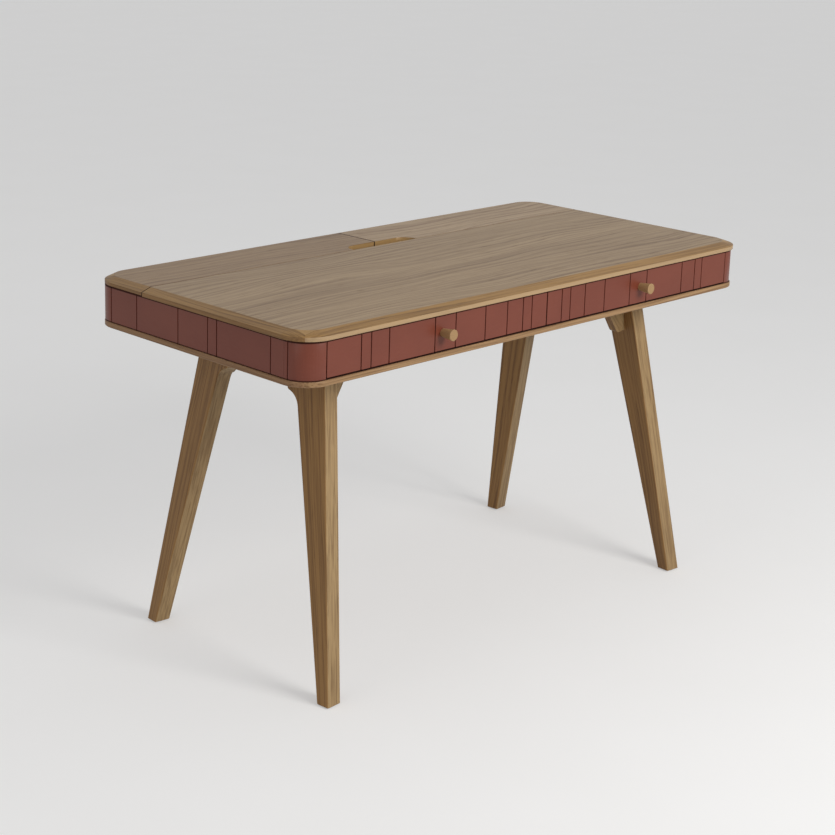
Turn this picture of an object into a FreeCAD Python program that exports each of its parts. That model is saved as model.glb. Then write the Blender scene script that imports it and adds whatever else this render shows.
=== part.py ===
import FreeCAD, Part
import math
import os
import Sketcher

# Desk with two drawers in front, two hinged flaps over a rear compartment and four splayed legs.
# Millimetres and degrees. +X right, the front faces -Y, +Z up, origin on the floor.

os.makedirs("parts", exist_ok=True)
doc = FreeCAD.newDocument("desk")
Vector = FreeCAD.Vector

driving_sizes = [
    # whole desk
    ("top_length", 1300, "tabletop, left to right"),
    ("top_depth", 620, "tabletop, front to back"),
    ("desk_height", 750, "floor to tabletop"),
    # tabletop and flaps
    ("top_thickness", 16, "tabletop"),
    ("bevel_width", 22, "bevel of the tabletop at the front and the ends, seen from above"),
    ("rear_bevel", 13, "bevel of the tabletop at the rear, seen from above"),
    ("bevel_height", 7.7, "bevel of the tabletop, up and down"),
    ("top_radius", 62, "tabletop corners, seen from above"),
    ("flat_radius", 45, "corners of the flat inside the bevel"),
    ("seam_inset", 160.4, "rear edge of the fixed top to the rear edge of the flaps"),
    ("flap_gap", 1.5, "between the fixed top and the flaps, and between the flaps"),
    ("flap_lift", 2, "underside of the flaps above the painted band"),
    ("rest_gap", 0.3, "between pieces that touch but move apart"),
    ("notch_half", 93, "finger notch, half its length"),
    ("notch_depth", 34, "finger notch, front to back"),
    ("notch_radius", 28, "finger notch corners"),
    # painted band
    ("band_inset", 6.2, "painted band behind the tabletop's front edge and ends"),
    ("band_height", 73.3, "painted band, up and down"),
    ("band_board", 18, "thickness of the painted boards"),
    ("post_side", 53, "corner post, both ways"),
    ("post_radius", 50, "round outer corner of a post"),
    ("post_kerf", 43.8, "side kerf of a front post behind the band's front"),
    ("kerf_width", 2.2, "saw kerf in the painted boards"),
    ("kerf_depth", 2.5, "saw kerf in the painted boards"),
    # oak plate under the band
    ("plate_thickness", 10.7, "oak plate under the band"),
    ("plate_inset", 3.2, "oak plate behind the tabletop's front edge and ends"),
    ("plate_radius", 54, "oak plate corners, seen from above"),
    ("plate_arris", 1.2, "small bevel round the plate"),
    ("outlet_half", 30, "cable slot, half its length"),
    ("outlet_width", 25, "cable slot, front to back"),
    ("outlet_radius", 10, "cable slot corners"),
    ("grommet_wall", 1.5, "sleeve and flange of the grommet"),
    ("grommet_flange", 5, "flange outside the cable slot"),
    # inner boards
    ("inner_board", 18, "divider, partition and runner boards"),
    ("batten_side", 18, "flap rest battens, both ways"),
    ("batten_margin", 30, "battens end this far from the notch"),
    # drawers
    ("front_gap", 2, "drawer front to the posts and the tabletop"),
    ("front_gap_low", 3.2, "drawer front to the plate"),
    ("front_gap_middle", 3, "between the two drawer fronts"),
    ("drawer_side", 12, "drawer sides and back"),
    ("drawer_low", 6.5, "drawer box above the plate"),
    ("drawer_high", 9.5, "drawer box below the tabletop"),
    ("drawer_bottom", 6, "drawer bottom"),
    ("groove_depth", 6, "groove that holds the drawer bottom"),
    ("groove_up", 6, "groove above the lower edge of the drawer box"),
    ("fit_gap", 0.1, "between pieces that are fitted together"),
    ("drawer_back_gap", 8, "drawer box to the partition"),
    # drawer slides
    ("slide_height", 27, "outer slide member"),
    ("slide_space", 12.7, "runner face to drawer side"),
    ("slide_wall", 1.2, "sheet of the slides"),
    ("slide_gap", 0.3, "between the slide members"),
    ("slide_setback", 2, "slides behind the drawer front"),
    ("slide_end_gap", 15.4, "slides to the partition"),
    # knobs
    ("knob_length", 28, "knob, front to back"),
    ("knob_face_radius", 11, "knob at its face"),
    ("knob_base_radius", 8, "knob at the drawer front"),
    ("knob_arris", 0.8, "small bevel round the knob's face"),
    ("knob_screw_radius", 2, "knob screw"),
    ("knob_screw_grip", 14, "knob screw inside the knob"),
    ("knob_screw_head", 4, "radius of the knob screw's head"),
    ("knob_screw_head_height", 2.5, "head of the knob screw"),
    # legs
    ("leg_thickness", 35.5, "leg plank"),
    ("leg_top_depth", 81, "leg plank at the plate"),
    ("leg_foot_depth", 29.5, "leg plank at the floor"),
    ("leg_end_inset", 194.3, "middle of the leg at the plate, from the tabletop's end"),
    ("leg_front_inset", 181.8, "middle of a front leg at the plate, from the tabletop's front edge"),
    ("leg_rear_inset", 171.8, "middle of a rear leg at the plate, from the tabletop's rear edge"),
    ("leg_lean", 6.74, "leg leans out to the side, degrees"),
    ("leg_reach", 122.6, "foot in front of or behind the leg's top"),
    ("leg_yaw", 4, "leg turned outward, degrees"),
    ("leg_round", 3, "long edges of the leg"),
    ("flare_start", 105, "flare of the leg starts this far below the plate"),
    ("flare_radius", 35, "hollow curve of the flare"),
    ("flare_reach", 31, "shoulder of the flare beyond the straight edge"),
    ("flare_round", 8, "lower corner of the shoulder"),
    ("cut_spare", 14, "wood beyond the horizontal cuts before they are made"),
    # corbels
    ("corbel_thickness", 20, "corbel, front to back"),
    ("corbel_offset", 4, "corbel from the leg's middle, front to back"),
    ("corbel_top", 50, "corbel beyond the leg at the plate"),
    ("corbel_shoulder", 53.5, "corbel beyond the leg where its slope starts"),
    ("corbel_shoulder_drop", 36, "slope of the corbel starts this far below the plate"),
    ("corbel_nose", 23.5, "corbel beyond the leg at its lower end"),
    ("corbel_drop", 100, "lower end of the corbel below the plate"),
    ("corbel_round", 9, "nose of the corbel"),
    # leg bolts and glides
    ("bolt_spacing", 50, "between the two bolts of a leg"),
    ("bolt_radius", 3, "leg bolt"),
    ("bolt_grip", 40, "leg bolt inside the leg"),
    ("bolt_head_radius", 6, "head of a leg bolt"),
    ("bolt_head_height", 4, "head of a leg bolt"),
    ("glide_height", 2.5, "foot glide"),
    ("glide_radius", 11, "foot glide"),
    # hinges of the flaps
    ("hinge_near", 130, "inner hinge of a flap from the desk's middle"),
    ("hinge_end_inset", 130, "outer hinge of a flap from the tabletop's end"),
    ("hinge_width", 50, "hinge leaf along the axis"),
    ("leaf_thickness", 1.2, "hinge leaf"),
    ("leaf_length", 22, "hinge leaf from the axis to its free edge"),
    ("knuckle_radius", 3, "hinge knuckle"),
    ("knuckle_gap", 0.3, "round and between the knuckles"),
    ("pin_radius", 1.25, "hinge pin"),
    ("pin_play", 0.05, "between the pin and its knuckles"),
    ("hinge_screw_offset", 16, "hinge screw from the middle of the leaf"),
    ("hinge_screw_radius", 1.2, "hinge screw"),
    ("hinge_screw_head", 2.4, "radius of a hinge screw's head"),
    ("hinge_screw_length", 9, "hinge screw"),
]
sheet = doc.addObject("Spreadsheet::Sheet", "Sizes")
for row, (alias, value, note) in enumerate(driving_sizes, start=1):
    sheet.set(f"A{row}", note)
    sheet.set(f"B{row}", str(value))
    sheet.setAlias(f"B{row}", alias)
doc.recompute()

# places of the saw kerfs, as shares of the half length of the band or of the length of its side
front_kerf_shares = [0.076, 0.120, 0.197, 0.302, 0.441, 0.535, 0.737, 0.814, 0.856]
side_kerf_shares = [0.0705, 0.365, 0.416, 0.588, 0.838]


# Sizes as formulas of the sheet

def formula(value):
    return value.formula if isinstance(value, Size) else repr(value)


def number(value):
    return value.number if isinstance(value, Size) else float(value)


class Size:
    """A formula of the sheet's sizes together with the number it gives now."""

    def __init__(self, text, result):
        self.formula = text
        self.number = result

    def __add__(self, other):
        return Size(f"({self.formula} + {formula(other)})", self.number + number(other))

    def __sub__(self, other):
        return Size(f"({self.formula} - {formula(other)})", self.number - number(other))

    def __rsub__(self, other):
        return Size(f"({formula(other)} - {self.formula})", number(other) - self.number)

    def __mul__(self, other):
        return Size(f"({self.formula} * {formula(other)})", self.number * number(other))

    def __truediv__(self, other):
        return Size(f"({self.formula} / {formula(other)})", self.number / number(other))

    def __neg__(self):
        return Size(f"(0 - {self.formula})", -self.number)

    __radd__ = __add__
    __rmul__ = __mul__


class SheetSizes:
    def __getattr__(self, alias):
        return Size(f"Sizes.{alias}", float(getattr(sheet, alias)))


def cosine(angle):
    return Size(f"cos({angle.formula} * 1 deg)", math.cos(math.radians(angle.number)))


def sine(angle):
    return Size(f"sin({angle.formula} * 1 deg)", math.sin(math.radians(angle.number)))


def tangent(angle):
    return sine(angle) / cosine(angle)


S = SheetSizes()


# Bodies, sketches and features

def place(thing, x, y, z, yaw=0, pitch=0, roll=0):
    base = f"create(<<vector>>; {formula(x)}; {formula(y + centre_shift)}; {formula(z)})"
    turn = f"create(<<rotation>>; {formula(yaw)}; {formula(pitch)}; {formula(roll)})"
    thing.setExpression("Placement", f"create(<<placement>>; {base}; {turn})")


def new_body(name, x=0):
    body = doc.addObject("PartDesign::Body", name)
    body.Label = name
    place(body, x, 0, 0)
    return body


def new_sketch(body, name, plane_role, offset):
    sketch = body.newObject("Sketcher::SketchObject", name)
    plane = [item for item in body.Origin.OriginFeatures if item.Role == plane_role][0]
    sketch.AttachmentSupport = [(plane, "")]
    sketch.MapMode = "FlatFace"
    sketch.setExpression("AttachmentOffset.Base.z", formula(offset))
    return sketch


def tie(sketch, kind, *where, to):
    index = sketch.addConstraint(Sketcher.Constraint(kind, *where, number(to)))
    sketch.setExpression(f"Constraints[{index}]", formula(to))


def tie_point(sketch, geometry, point, across, along):
    tie(sketch, "DistanceX", -1, 1, geometry, point, to=across)
    tie(sketch, "DistanceY", -1, 1, geometry, point, to=along)


def draw_loop(sketch, corners):
    """Closed outline of straight lines."""
    first = sketch.GeometryCount
    count = len(corners)
    points = [Vector(number(across), number(along), 0) for across, along in corners]
    for index in range(count):
        sketch.addGeometry(Part.LineSegment(points[index], points[(index + 1) % count]))
    for index, (across, along) in enumerate(corners):
        following = first + (index + 1) % count
        sketch.addConstraint(Sketcher.Constraint("Coincident", first + index, 2, following, 1))
        tie_point(sketch, first + index, 1, across, along)


def draw_rectangle(sketch, low_across, high_across, low_along, high_along):
    draw_loop(sketch, [
        (low_across, low_along),
        (high_across, low_along),
        (high_across, high_along),
        (low_across, high_along),
    ])


def draw_circle(sketch, across, along, radius):
    index = sketch.GeometryCount
    centre = Vector(number(across), number(along), 0)
    sketch.addGeometry(Part.Circle(centre, Vector(0, 0, 1), number(radius)))
    tie_point(sketch, index, 3, across, along)
    tie(sketch, "Radius", index, to=radius)


def draw_round_rectangle(sketch, low_across, high_across, low_along, high_along, radius):
    corners = [
        (high_across, low_along, -1, 1),
        (high_across, high_along, -1, -1),
        (low_across, high_along, 1, -1),
        (low_across, low_along, 1, 1),
    ]
    first = sketch.GeometryCount
    size = number(radius)
    centres = [
        Vector(number(across) + inward * size, number(along) + upward * size, 0)
        for across, along, inward, upward in corners
    ]
    for index, centre in enumerate(centres):
        start_angle = (index - 1) * math.pi / 2
        end_angle = index * math.pi / 2
        before = centres[index - 1]
        outward = Vector(math.cos(start_angle), math.sin(start_angle), 0) * size
        sketch.addGeometry(Part.LineSegment(before + outward, centre + outward))
        circle = Part.Circle(centre, Vector(0, 0, 1), size)
        sketch.addGeometry(Part.ArcOfCircle(circle, start_angle, end_angle))
    edges = [low_along, high_across, high_along, low_across]
    for index, edge in enumerate(edges):
        line = first + 2 * index
        arc = line + 1
        following = first + (2 * index + 2) % 8
        sketch.addConstraint(Sketcher.Constraint("Tangent", line, 2, arc, 1))
        sketch.addConstraint(Sketcher.Constraint("Tangent", arc, 2, following, 1))
        level = index % 2 == 0
        sketch.addConstraint(Sketcher.Constraint("Horizontal" if level else "Vertical", line))
        tie(sketch, "DistanceY" if level else "DistanceX", -1, 1, line, 1, to=edge)
        tie(sketch, "Radius", arc, to=radius)


def pad(body, sketch, length):
    feature = body.newObject("PartDesign::Pad", f"{body.Name}_pad")
    feature.Profile = sketch
    feature.setExpression("Length", formula(length))
    return feature


def pocket(body, sketch, length):
    """Cut from the sketch against its normal: down, to the back or to the left."""
    feature = body.newObject("PartDesign::Pocket", f"{body.Name}_pocket")
    feature.Profile = sketch
    feature.setExpression("Length", formula(length))
    return feature


def revolve(body, corners):
    sketch = new_sketch(body, f"{body.Name}_profile", "XZ_Plane", 0)
    draw_loop(sketch, corners)
    feature = body.newObject("PartDesign::Revolution", f"{body.Name}_turned")
    feature.Profile = sketch
    feature.ReferenceAxis = (sketch, ["V_Axis"])
    feature.Angle = 360
    return feature


def round_edges(body, test, radius, kind="PartDesign::Fillet"):
    doc.recompute()
    base = body.Tip
    edges = [
        f"Edge{index}" for index, edge in enumerate(base.Shape.Edges, start=1)
        if test(edge.BoundBox)
    ]
    feature = body.newObject(kind, f"{body.Name}_edges")
    feature.Base = (base, edges)
    side = "Radius" if kind == "PartDesign::Fillet" else "Size"
    feature.setExpression(side, formula(radius))
    return feature


def near(first, second):
    return abs(first - number(second)) < 0.01


def upright_at(x, y):
    return lambda box: near(box.XMin, x) and near(box.XMax, x) and near(box.YMin, y) and near(box.YMax, y)


def board(name, low_x, high_x, low_y, high_y, low_z, high_z):
    body = new_body(name)
    sketch = new_sketch(body, f"{name}_outline", "XY_Plane", low_z)
    draw_rectangle(sketch, low_x, high_x, low_y, high_y)
    pad(body, sketch, high_z - low_z)
    return body


def cut_box(body, low_x, high_x, low_y, high_y, low_z, high_z):
    sketch = new_sketch(body, f"{body.Name}_cut", "XY_Plane", high_z)
    draw_rectangle(sketch, low_x, high_x, low_y, high_y)
    pocket(body, sketch, high_z - low_z)


def cut_hole_down(body, x, y, radius, low_z, high_z):
    sketch = new_sketch(body, f"{body.Name}_hole", "XY_Plane", high_z)
    draw_circle(sketch, x, y, radius)
    pocket(body, sketch, high_z - low_z)


def cut_hole_back(body, x, z, radius, low_y, high_y):
    sketch = new_sketch(body, f"{body.Name}_hole", "XZ_Plane", -low_y)
    draw_circle(sketch, x, z, radius)
    pocket(body, sketch, high_y - low_y)


def group(name, members):
    made = doc.addObject("Part::Compound", name)
    made.Label = name
    made.Links = members
    return made


# Levels and faces that the pieces share

centre_shift = (S.knob_length - S.band_inset + S.leaf_thickness - S.knuckle_radius * 2) / 2
half_length = S.top_length / 2
half_depth = S.top_depth / 2
top_low = S.desk_height - S.top_thickness
bevel_low = S.desk_height - S.bevel_height
flap_low = top_low + S.flap_lift
plate_top = top_low - S.band_height
plate_low = plate_top - S.plate_thickness
band_x = half_length - S.band_inset
band_front = S.band_inset - half_depth
band_back = half_depth
joint_x = band_x - S.post_side
joint_front = band_front + S.post_side
joint_back = band_back - S.post_side
front_back = band_front + S.band_board
seam_y = half_depth - S.seam_inset
partition_front = seam_y - S.inner_board
flap_front = seam_y + S.flap_gap
hinge_places = [S.hinge_near, half_length - S.hinge_end_inset]
sides = [("left", -1), ("right", 1)]

made_nodes = []


def hand_in(*things):
    made_nodes.extend(things)


# Tabletop: one bevelled outline that the fixed top and both flaps are cut from

def tabletop(name, low_z):
    body = new_body(name)
    outline = new_sketch(body, f"{name}_outline", "XY_Plane", low_z)
    draw_round_rectangle(outline, -half_length, half_length, -half_depth, half_depth, S.top_radius)
    pad(body, outline, bevel_low - low_z)
    lower = new_sketch(body, f"{name}_bevel_low", "XY_Plane", bevel_low)
    draw_round_rectangle(lower, -half_length, half_length, -half_depth, half_depth, S.top_radius)
    upper = new_sketch(body, f"{name}_bevel_high", "XY_Plane", S.desk_height)
    flat_x = half_length - S.bevel_width
    draw_round_rectangle(upper, -flat_x, flat_x, S.bevel_width - half_depth, half_depth - S.rear_bevel,
                         S.flat_radius)
    bevel = body.newObject("PartDesign::AdditiveLoft", f"{name}_bevel")
    bevel.Profile = lower
    bevel.Sections = [upper]
    bevel.Ruled = True
    return body


desk_top = tabletop("desk_top", top_low)
cut_box(desk_top, -half_length, half_length, seam_y, half_depth, top_low, S.desk_height)
hand_in(desk_top)

# Hinge axis: the knuckle touches the back panel's leaf and the flap's leaf
axis_y = band_back - S.leaf_thickness + S.knuckle_radius
axis_z = flap_low + S.leaf_thickness - S.knuckle_radius
relief = S.knuckle_radius + S.knuckle_gap
hinge_half = S.hinge_width / 2
recess_half = hinge_half + S.fit_gap
moving_screw_y = axis_y - S.leaf_length / 2 - S.knuckle_radius / 2
fixed_screw_z = axis_z - S.leaf_length / 2 - S.knuckle_radius / 2
hinge_screw_core = S.hinge_screw_radius + S.fit_gap


for side, sign in sides:
    name = f"{side}_flap"
    flap = tabletop(name, flap_low)
    cut_box(flap, -half_length, half_length, -half_depth, flap_front, flap_low, S.desk_height)
    middle = S.flap_gap / 2 * sign
    far = half_length * -sign
    cut_box(flap, *sorted((middle, far), key=number), flap_front, half_depth, flap_low, S.desk_height)
    notch_end = S.notch_half * sign
    notch_back = seam_y + S.notch_depth
    cut_box(flap, *sorted((middle, notch_end), key=number), flap_front, notch_back,
            flap_low, S.desk_height)
    round_edges(flap, upright_at(notch_end, notch_back), S.notch_radius)
    for hinge_place in hinge_places:
        hinge_x = hinge_place * sign
        cut_box(flap, hinge_x - recess_half, hinge_x + recess_half,
                axis_y - S.leaf_length - S.fit_gap, axis_y, flap_low, flap_low + S.leaf_thickness)
        for screw_sign in (-1, 1):
            cut_hole_down(flap, hinge_x + S.hinge_screw_offset * screw_sign, moving_screw_y,
                          hinge_screw_core, flap_low, flap_low + S.hinge_screw_length + S.fit_gap)
    hand_in(flap)

# Painted band: corner posts and grooved boards

kerf_half = S.kerf_width / 2


def cut_kerfs(body, spans, low_z, high_z):
    """Upright saw kerfs, each given by its reach across and along."""
    sketch = new_sketch(body, f"{body.Name}_kerfs", "XY_Plane", high_z)
    for span in spans:
        draw_rectangle(sketch, *span)
    pocket(body, sketch, high_z - low_z)


for side, sign in sides:
    post_span = sorted((joint_x * sign, band_x * sign), key=number)
    kerf_span = sorted((band_x * sign, (band_x - S.kerf_depth) * sign), key=number)
    front_post = board(f"front_{side}_post", *post_span, band_front, joint_front, plate_top, top_low)
    round_edges(front_post, upright_at(band_x * sign, band_front), S.post_radius)
    post_kerf_y = band_front + S.post_kerf
    cut_kerfs(front_post, [(*kerf_span, post_kerf_y - kerf_half, post_kerf_y + kerf_half)],
              plate_top, top_low)
    rear_post = board(f"rear_{side}_post", *post_span, joint_back, band_back, plate_top, top_low)
    round_edges(rear_post, upright_at(band_x * sign, band_back), S.post_radius)
    panel = board(
        f"{side}_side_panel",
        *sorted((band_x * sign, (band_x - S.band_board) * sign), key=number),
        joint_front,
        joint_back,
        plate_top,
        top_low,
    )
    places = [joint_front + (joint_back - joint_front) * share for share in side_kerf_shares]
    spans = [(*kerf_span, y - kerf_half, y + kerf_half) for y in places]
    spans.append((*kerf_span, joint_back - S.kerf_width, joint_back))
    cut_kerfs(panel, spans, plate_top, top_low)
    hand_in(front_post, rear_post, panel)

back_panel = board("back_panel", -joint_x, joint_x, band_back - S.band_board, band_back,
                   plate_top, top_low)
back_places = [joint_x * share * sign for share in front_kerf_shares for side, sign in sides]
back_kerf_span = (band_back - S.kerf_depth, band_back)
back_spans = [(x - kerf_half, x + kerf_half, *back_kerf_span) for x in back_places]
back_spans.append((-joint_x, S.kerf_width - joint_x, *back_kerf_span))
back_spans.append((joint_x - S.kerf_width, joint_x, *back_kerf_span))
cut_kerfs(back_panel, back_spans, plate_top, top_low)
for side, sign in sides:
    for hinge_place in hinge_places:
        hinge_x = hinge_place * sign
        cut_box(back_panel, hinge_x - recess_half, hinge_x + recess_half,
                band_back - S.leaf_thickness, band_back, axis_z - S.leaf_length - S.fit_gap, top_low)
        knuckle_relief = new_sketch(back_panel, "knuckle_relief", "YZ_Plane", hinge_x + recess_half)
        draw_circle(knuckle_relief, axis_y, axis_z, relief)
        pocket(back_panel, knuckle_relief, recess_half * 2)
        for screw_sign in (-1, 1):
            cut_hole_back(back_panel, hinge_x + S.hinge_screw_offset * screw_sign, fixed_screw_z,
                          hinge_screw_core, band_back - S.hinge_screw_length - S.fit_gap, band_back)
hand_in(back_panel)

# Oak plate with the cable slot and the holes of the leg bolts

outlet_y = (seam_y + band_back - S.band_board) / 2
outlet_half_depth = S.outlet_width / 2
plate_x = half_length - S.plate_inset
plate_front = S.plate_inset - half_depth
bottom_panel = new_body("bottom_panel")
plate_outline = new_sketch(bottom_panel, "plate_outline", "XY_Plane", plate_low)
draw_round_rectangle(plate_outline, -plate_x, plate_x, plate_front, band_back, S.plate_radius)
pad(bottom_panel, plate_outline, S.plate_thickness)
round_edges(
    bottom_panel,
    lambda box: near(box.ZMin, box.ZMax) and near(box.YMax, plate_front) and near(box.YMin, plate_front),
    S.plate_arris,
    "PartDesign::Chamfer",
)
outlet = new_sketch(bottom_panel, "outlet", "XY_Plane", plate_top)
draw_round_rectangle(outlet, -S.outlet_half, S.outlet_half, outlet_y - outlet_half_depth,
                     outlet_y + outlet_half_depth, S.outlet_radius)
pocket(bottom_panel, outlet, S.plate_thickness)
leg_top_x = half_length - S.leg_end_inset
front_leg_y = S.leg_front_inset - half_depth
rear_leg_y = half_depth - S.leg_rear_inset
legs = [
    ("front_left", -1, -1, front_leg_y),
    ("front_right", 1, -1, front_leg_y),
    ("rear_left", -1, 1, rear_leg_y),
    ("rear_right", 1, 1, rear_leg_y),
]
bolt_places = [
    (leg_top_x * sign_x, leg_y + S.bolt_spacing / 2 * step)
    for name, sign_x, sign_y, leg_y in legs for step in (-1, 1)
]
bolt_hole = S.bolt_radius + S.fit_gap
for x, y in bolt_places:
    cut_hole_down(bottom_panel, x, y, bolt_hole, plate_low, plate_top)
    cut_hole_down(bottom_panel, x, y, S.bolt_head_radius + S.fit_gap,
                  plate_top - S.bolt_head_height, plate_top)
hand_in(bottom_panel)

grommet = new_body("cable_grommet")
sleeve_x = S.outlet_half - S.fit_gap
sleeve_y = outlet_half_depth - S.fit_gap
sleeve = new_sketch(grommet, "sleeve", "XY_Plane", plate_low)
draw_round_rectangle(sleeve, -sleeve_x, sleeve_x, outlet_y - sleeve_y, outlet_y + sleeve_y,
                     S.outlet_radius - S.fit_gap)
pad(grommet, sleeve, S.plate_thickness + S.grommet_wall)
flange = new_sketch(grommet, "flange", "XY_Plane", plate_top)
flange_x = S.outlet_half + S.grommet_flange
flange_y = outlet_half_depth + S.grommet_flange
draw_round_rectangle(flange, -flange_x, flange_x, outlet_y - flange_y, outlet_y + flange_y,
                     S.outlet_radius + S.grommet_flange)
pad(grommet, flange, S.grommet_wall)
passage = new_sketch(grommet, "passage", "XY_Plane", plate_top + S.grommet_wall)
passage_x = sleeve_x - S.grommet_wall
passage_y = sleeve_y - S.grommet_wall
draw_round_rectangle(passage, -passage_x, passage_x, outlet_y - passage_y, outlet_y + passage_y,
                     S.outlet_radius - S.fit_gap - S.grommet_wall)
pocket(grommet, passage, S.plate_thickness + S.grommet_wall)
hand_in(grommet)

# Inner boards

half_board = S.inner_board / 2
hand_in(
    board("centre_divider", -half_board, half_board, front_back + S.rest_gap, partition_front,
          plate_top, top_low),
    board("compartment_partition", S.band_board - band_x, band_x - S.band_board, partition_front,
          seam_y, plate_top, top_low),
)
batten_start = S.notch_half + S.batten_margin
batten_end = leg_top_x
batten_high = flap_low - S.rest_gap
for side, sign in sides:
    hand_in(
        board(
            f"{side}_runner_board",
            *sorted((joint_x * sign, (joint_x + S.inner_board) * sign), key=number),
            joint_front,
            partition_front,
            plate_top,
            top_low,
        ),
        board(
            f"{side}_flap_rest",
            *sorted((batten_start * sign, batten_end * sign), key=number),
            seam_y,
            seam_y + S.batten_side,
            batten_high - S.batten_side,
            batten_high,
        ),
    )

# Legs: a plank leaning to the side, cut level at the plate and at the foot

leg_height = plate_low
leg_length = leg_height / cosine(S.leg_lean)
leg_half = S.leg_thickness / 2
taper = (S.leg_top_depth - S.leg_foot_depth) / 2
foot_side = tangent(S.leg_lean) * leg_height
foot_x = leg_top_x + foot_side * cosine(S.leg_yaw) - S.leg_reach * sine(S.leg_yaw)
foot_reach = foot_side * sine(S.leg_yaw) + S.leg_reach * cosine(S.leg_yaw)

slab = doc.addObject("Part::Box", "leg_slab")
slab.setExpression("Length", formula(S.top_length))
slab.setExpression("Width", formula(S.top_depth))
slab.setExpression("Height", formula(plate_low - S.glide_height))
place(slab, -half_length, -half_depth, S.glide_height)


def outer_edge(drop):
    return S.leg_top_depth / 2 + drop / leg_length * (S.leg_reach - taper)


def inner_edge(drop):
    return drop / leg_length * (S.leg_reach + taper) - S.leg_top_depth / 2


def leg_plank(name):
    """Plank in its own frame: local Y points outward, local Z up along the leaning plank."""
    body = doc.addObject("PartDesign::Body", f"{name}_plank")
    sketch = new_sketch(body, f"{name}_profile", "YZ_Plane", -leg_half)
    foot_drop = leg_length + S.cut_spare
    flare = S.flare_start / cosine(S.leg_lean)
    shoulder = inner_edge(flare) - S.flare_reach
    start = Vector(number(inner_edge(flare)), -number(flare), 0)
    slope = math.atan2(number(S.leg_reach + taper), number(leg_length))
    radius = number(S.flare_radius)
    normal = Vector(math.cos(slope), math.sin(slope), 0)
    centre = start - normal * radius
    end_angle = math.acos((number(shoulder) - centre.x) / radius)
    end = centre + Vector(math.cos(end_angle), math.sin(end_angle), 0) * radius
    corners = [
        (outer_edge(-S.cut_spare), S.cut_spare),
        (outer_edge(foot_drop), -foot_drop),
        (inner_edge(foot_drop), -foot_drop),
        (inner_edge(flare), -flare),
    ]
    points = [Vector(number(across), number(along), 0) for across, along in corners]
    top = Vector(number(shoulder), number(S.cut_spare), 0)
    for index in range(3):
        sketch.addGeometry(Part.LineSegment(points[index], points[index + 1]))
    sketch.addGeometry(Part.ArcOfCircle(Part.Circle(centre, Vector(0, 0, 1), radius), slope, end_angle))
    sketch.addGeometry(Part.LineSegment(end, top))
    sketch.addGeometry(Part.LineSegment(top, points[0]))
    for index, (across, along) in enumerate(corners[:3]):
        tie_point(sketch, index, 1, across, along)
    tie_point(sketch, 2, 2, *corners[3])
    tie_point(sketch, 5, 1, shoulder, S.cut_spare)
    for first, second in ((0, 1), (1, 2), (4, 5), (5, 0)):
        sketch.addConstraint(Sketcher.Constraint("Coincident", first, 2, second, 1))
    sketch.addConstraint(Sketcher.Constraint("Tangent", 2, 2, 3, 1))
    sketch.addConstraint(Sketcher.Constraint("Coincident", 3, 2, 4, 1))
    sketch.addConstraint(Sketcher.Constraint("Vertical", 4))
    tie(sketch, "Radius", 3, to=S.flare_radius)
    pad(body, sketch, S.leg_thickness)
    tip = number(shoulder)
    round_edges(
        body,
        lambda box: near(box.YMin, tip) and near(box.YMax, tip) and box.ZMax < 0 and box.XLength > 1,
        S.flare_round,
    )
    half = number(leg_half)
    round_edges(
        body,
        lambda box: near(box.XMin, box.XMax) and near(abs(box.XMin), half) and box.ZLength > 1,
        S.leg_round,
    )
    return body


def corbel_block(name, inward):
    """Bracket in the leg's own frame, on its inner broad face."""
    body = doc.addObject("PartDesign::Body", f"{name}_block")
    sketch = new_sketch(body, f"{name}_profile", "XZ_Plane", -S.corbel_offset - S.corbel_thickness)
    face = leg_half * inward
    draw_loop(sketch, [
        (face, S.cut_spare),
        (face + S.corbel_top * inward, S.cut_spare),
        (face + S.corbel_shoulder * inward, -S.corbel_shoulder_drop),
        (face + S.corbel_nose * inward, -S.corbel_drop),
        (face, -S.corbel_drop),
    ])
    pad(body, sketch, S.corbel_thickness)
    nose = number(face + S.corbel_nose * inward)
    round_edges(
        body,
        lambda box: near(box.XMin, nose) and near(box.XMax, nose) and box.YLength > 1,
        S.corbel_round,
    )
    return body


for name, sign_x, sign_y, leg_y in legs:
    hand = sign_x * sign_y
    turn = S.leg_yaw * hand + (0 if sign_y > 0 else 180)
    lean = S.leg_lean * -hand
    plank = leg_plank(f"{name}_leg")
    place(plank, leg_top_x * sign_x, leg_y, plate_low, yaw=turn, pitch=lean)
    level_leg = doc.addObject("Part::Common", f"{name}_level_leg")
    level_leg.Base = plank
    level_leg.Tool = slab
    bores = []
    for step in (-1, 1):
        bore = doc.addObject("Part::Cylinder", f"{name}_bore")
        bore.setExpression("Radius", formula(bolt_hole))
        bore.setExpression("Height", formula(S.bolt_grip + S.cut_spare))
        place(bore, leg_top_x * sign_x, leg_y + S.bolt_spacing / 2 * step,
              plate_low - S.bolt_grip - S.fit_gap)
        bores.append(bore)
    bored_leg = doc.addObject("Part::Cut", f"{name}_leg")
    bored_leg.Label = f"{name}_leg"
    bored_leg.Base = level_leg
    bored_leg.Tool = group(f"{name}_bores", bores)
    block = corbel_block(f"{name}_corbel", -hand)
    place(block, leg_top_x * sign_x, leg_y, plate_low, yaw=turn, pitch=lean)
    corbel = doc.addObject("Part::Common", f"{name}_corbel")
    corbel.Label = f"{name}_corbel"
    corbel.Base = block
    corbel.Tool = slab
    hand_in(bored_leg, corbel)


# Screws, bolts and glides, turned about their own Z and then placed

def screw(name, head_radius, head_height, radius, length):
    body = new_body(name)
    revolve(body, [
        (0, 0),
        (head_radius, 0),
        (head_radius, head_height),
        (radius, head_height),
        (radius, length),
        (0, length),
    ])
    return body


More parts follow.
